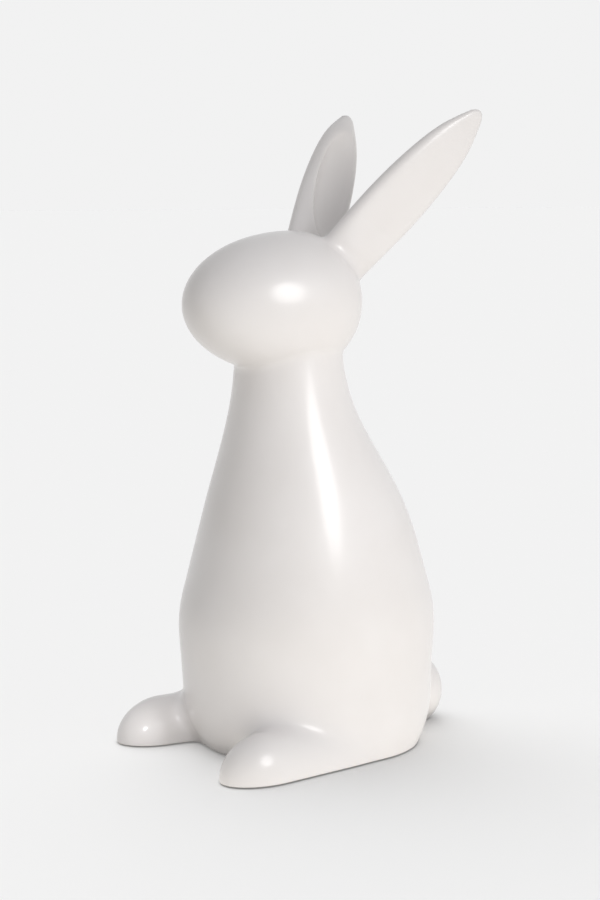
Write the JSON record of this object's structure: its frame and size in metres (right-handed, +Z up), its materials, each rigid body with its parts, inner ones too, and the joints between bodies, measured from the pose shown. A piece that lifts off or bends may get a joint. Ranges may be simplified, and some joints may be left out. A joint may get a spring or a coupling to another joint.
{
  "type": "ceramic rabbit figurine",
  "caption": "Seated rabbit ornament in glossy white glazed ceramic, with an egg-shaped head, leaf-shaped ears leaning back, a pear-shaped body, long feet and a small tail.",
  "frame": {"origin": "middle of the footprint, on the surface that the ornament stands on", "axes": "+Z up, the rabbit faces -Y, and its left side is +X"},
  "size_m": [0.096, 0.1335, 0.251],
  "materials": {
    "glaze": "gloss",
    "felt": "matte"
  },
  "bodies": {
    "root": {"body": "glaze", "head": "glaze", "ear_left": "glaze", "ear_right": "glaze", "foot_left": "glaze", "foot_right": "glaze", "tail": "glaze", "base_pads": "felt"}
  },
  "joints": []
}
